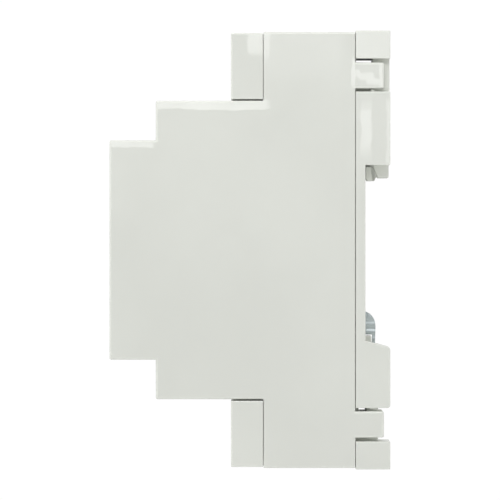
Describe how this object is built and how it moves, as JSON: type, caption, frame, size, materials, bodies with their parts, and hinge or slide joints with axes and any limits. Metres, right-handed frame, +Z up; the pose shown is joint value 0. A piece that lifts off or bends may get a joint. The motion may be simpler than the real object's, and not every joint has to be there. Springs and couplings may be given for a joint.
{
  "type": "din rail contactor",
  "caption": "Modular four-pole contactor with stepped housing, terminal covers, screw clamps, coil and rail clip for a 35 mm DIN rail",
  "frame": {"origin": "On the plane of the rail seat, in the middle of the width and of the height.", "axes": "+X width, +Y to the rear (into the rail), +Z up; the nose points along -Y."},
  "size_m": [0.0356, 0.0576, 0.09],
  "materials": {
    "grey_plastic": "semi-gloss moulded plastic",
    "base_plastic": "fine matte moulded plastic",
    "label_film": "printed film",
    "clear_window": "clear moulded window",
    "red_plastic": "moulded red plastic",
    "dark_plastic": "glass filled moulded plastic",
    "bobbin_plastic": "moulded nylon",
    "enamelled_copper": "layered enamelled wire",
    "copper_bar": "stamped copper",
    "silver_tip": "silver alloy",
    "core_steel": "stacked laminations",
    "black_rubber": "moulded rubber",
    "spring_steel": "rolled spring steel",
    "plated_steel": "zinc plated, turned",
    "plated_clamp": "zinc plated, stamped",
    "brass_strip": "stamped brass"
  },
  "bodies": {
    "root": {"housing": "grey_plastic", "base": "base_plastic", "label_plate": "label_film", "indicator_window": "clear_window", "contact_deck": "dark_plastic", "fixed_core": "core_steel", "shading_rings": "copper_bar", "core_pad": "black_rubber", "coil_bobbin": "bobbin_plastic", "coil_winding": "enamelled_copper", "fixed_tips": "silver_tip", "return_springs": "spring_steel", "tongue_spring": "spring_steel", "line_contact_1": "copper_bar", "line_contact_2": "copper_bar", "line_contact_3": "copper_bar", "line_contact_4": "copper_bar", "load_contact_1": "copper_bar", "load_contact_2": "copper_bar", "load_contact_3": "copper_bar", "load_contact_4": "copper_bar", "coil_strip_a1": "brass_strip", "coil_strip_a2": "brass_strip"},
    "drive": {"armature": "core_steel", "armature_pin": "plated_steel", "contact_carrier": "dark_plastic", "indicator_flag": "red_plastic", "moving_tips": "silver_tip", "bridge_springs": "spring_steel", "contact_bridge_1": "copper_bar", "contact_bridge_2": "copper_bar", "contact_bridge_3": "copper_bar", "contact_bridge_4": "copper_bar"},
    "cover_top": {"cover_top": "grey_plastic"},
    "cover_bottom": {"cover_bottom": "grey_plastic"},
    "rail_spring": {"rail_spring": "spring_steel"},
    "rail_tongue": {"rail_tongue": "base_plastic"},
    "terminal_screw_1": {"terminal_screw_1": "plated_steel"},
    "terminal_clamp_1": {"terminal_clamp_1": "plated_clamp"},
    "terminal_screw_2": {"terminal_screw_2": "plated_steel"},
    "terminal_clamp_2": {"terminal_clamp_2": "plated_clamp"},
    "terminal_screw_3": {"terminal_screw_3": "plated_steel"},
    "terminal_clamp_3": {"terminal_clamp_3": "plated_clamp"},
    "terminal_screw_4": {"terminal_screw_4": "plated_steel"},
    "terminal_clamp_4": {"terminal_clamp_4": "plated_clamp"},
    "terminal_screw_5": {"terminal_screw_5": "plated_steel"},
    "terminal_clamp_5": {"terminal_clamp_5": "plated_clamp"},
    "terminal_screw_6": {"terminal_screw_6": "plated_steel"},
    "terminal_clamp_6": {"terminal_clamp_6": "plated_clamp"},
    "terminal_screw_7": {"terminal_screw_7": "plated_steel"},
    "terminal_clamp_7": {"terminal_clamp_7": "plated_clamp"},
    "terminal_screw_8": {"terminal_screw_8": "plated_steel"},
    "terminal_clamp_8": {"terminal_clamp_8": "plated_clamp"},
    "coil_screw_a1": {"coil_screw_a1": "plated_steel"},
    "coil_clamp_a1": {"coil_clamp_a1": "plated_clamp"},
    "coil_screw_a2": {"coil_screw_a2": "plated_steel"},
    "coil_clamp_a2": {"coil_clamp_a2": "plated_clamp"}
  },
  "joints": [
    {"name": "drive_slide", "type": "slide", "parent": "root", "child": "drive", "axis": [0, 1, 0], "range_m": [0, 0.00235], "stiffness_N_per_m": 400, "springref_m": -0.001, "deforming": ["return_springs"]},
    {"name": "cover_top_pull", "type": "slide", "parent": "root", "child": "cover_top", "axis": [0, -1, 0], "range_m": [0, 0.012]},
    {"name": "cover_bottom_pull", "type": "slide", "parent": "root", "child": "cover_bottom", "axis": [0, -1, 0], "range_m": [0, 0.012]},
    {"name": "rail_spring_flex", "type": "hinge", "parent": "root", "child": "rail_spring", "pos_m": [0, 0.00175, -0.0302], "axis": [1, 0, 0], "range_deg": [0, 3.5], "stiffness_Nm_per_rad": 0.2},
    {"name": "rail_tongue_slide", "type": "slide", "parent": "root", "child": "rail_tongue", "axis": [0, 0, 1], "range_m": [0, 0.0033], "stiffness_N_per_m": 500, "springref_m": -0.0005, "deforming": ["tongue_spring"]},
    {"name": "screw_1_turn", "type": "hinge", "parent": "root", "child": "terminal_screw_1", "pos_m": [-0.0126, -0.015, 0.0375], "axis": [0, 1, 0], "range_deg": [0, 1448]},
    {"name": "clamp_1_slide", "type": "slide", "parent": "root", "child": "terminal_clamp_1", "axis": [0, -1, 0], "range_m": [0, 0.0028]},
    {"name": "screw_2_turn", "type": "hinge", "parent": "root", "child": "terminal_screw_2", "pos_m": [-0.0042, -0.015, 0.0375], "axis": [0, 1, 0], "range_deg": [0, 1448]},
    {"name": "clamp_2_slide", "type": "slide", "parent": "root", "child": "terminal_clamp_2", "axis": [0, -1, 0], "range_m": [0, 0.0028]},
    {"name": "screw_3_turn", "type": "hinge", "parent": "root", "child": "terminal_screw_3", "pos_m": [0.0042, -0.015, 0.0375], "axis": [0, 1, 0], "range_deg": [0, 1448]},
    {"name": "clamp_3_slide", "type": "slide", "parent": "root", "child": "terminal_clamp_3", "axis": [0, -1, 0], "range_m": [0, 0.0028]},
    {"name": "screw_4_turn", "type": "hinge", "parent": "root", "child": "terminal_screw_4", "pos_m": [0.0126, -0.015, 0.0375], "axis": [0, 1, 0], "range_deg": [0, 1448]},
    {"name": "clamp_4_slide", "type": "slide", "parent": "root", "child": "terminal_clamp_4", "axis": [0, -1, 0], "range_m": [0, 0.0028]},
    {"name": "screw_5_turn", "type": "hinge", "parent": "root", "child": "terminal_screw_5", "pos_m": [-0.0126, -0.015, -0.0375], "axis": [0, 1, 0], "range_deg": [0, 1448]},
    {"name": "clamp_5_slide", "type": "slide", "parent": "root", "child": "terminal_clamp_5", "axis": [0, -1, 0], "range_m": [0, 0.0028]},
    {"name": "screw_6_turn", "type": "hinge", "parent": "root", "child": "terminal_screw_6", "pos_m": [-0.0042, -0.015, -0.0375], "axis": [0, 1, 0], "range_deg": [0, 1448]},
    {"name": "clamp_6_slide", "type": "slide", "parent": "root", "child": "terminal_clamp_6", "axis": [0, -1, 0], "range_m": [0, 0.0028]},
    {"name": "screw_7_turn", "type": "hinge", "parent": "root", "child": "terminal_screw_7", "pos_m": [0.0042, -0.015, -0.0375], "axis": [0, 1, 0], "range_deg": [0, 1448]},
    {"name": "clamp_7_slide", "type": "slide", "parent": "root", "child": "terminal_clamp_7", "axis": [0, -1, 0], "range_m": [0, 0.0028]},
    {"name": "screw_8_turn", "type": "hinge", "parent": "root", "child": "terminal_screw_8", "pos_m": [0.0126, -0.015, -0.0375], "axis": [0, 1, 0], "range_deg": [0, 1448]},
    {"name": "clamp_8_slide", "type": "slide", "parent": "root", "child": "terminal_clamp_8", "axis": [0, -1, 0], "range_m": [0, 0.0028]},
    {"name": "coil_screw_a1_turn", "type": "hinge", "parent": "root", "child": "coil_screw_a1", "pos_m": [0, -0.038, 0.0266], "axis": [0, 1, 0], "range_deg": [0, 1808]},
    {"name": "coil_clamp_a1_slide", "type": "slide", "parent": "root", "child": "coil_clamp_a1", "axis": [0, -1, 0], "range_m": [0, 0.0025]},
    {"name": "coil_screw_a2_turn", "type": "hinge", "parent": "root", "child": "coil_screw_a2", "pos_m": [0, -0.038, -0.0266], "axis": [0, 1, 0], "range_deg": [0, 1808]},
    {"name": "coil_clamp_a2_slide", "type": "slide", "parent": "root", "child": "coil_clamp_a2", "axis": [0, -1, 0], "range_m": [0, 0.0025]}
  ],
  "couplings": [
    {"joint": "screw_1_turn", "follows": "clamp_1_slide", "rad_per_m": 8976},
    {"joint": "screw_2_turn", "follows": "clamp_2_slide", "rad_per_m": 8976},
    {"joint": "screw_3_turn", "follows": "clamp_3_slide", "rad_per_m": 8976},
    {"joint": "screw_4_turn", "follows": "clamp_4_slide", "rad_per_m": 8976},
    {"joint": "screw_5_turn", "follows": "clamp_5_slide", "rad_per_m": 8976},
    {"joint": "screw_6_turn", "follows": "clamp_6_slide", "rad_per_m": 8976},
    {"joint": "screw_7_turn", "follows": "clamp_7_slide", "rad_per_m": 8976},
    {"joint": "screw_8_turn", "follows": "clamp_8_slide", "rad_per_m": 8976},
    {"joint": "coil_screw_a1_turn", "follows": "coil_clamp_a1_slide", "rad_per_m": 12566},
    {"joint": "coil_screw_a2_turn", "follows": "coil_clamp_a2_slide", "rad_per_m": 12566}
  ]
}
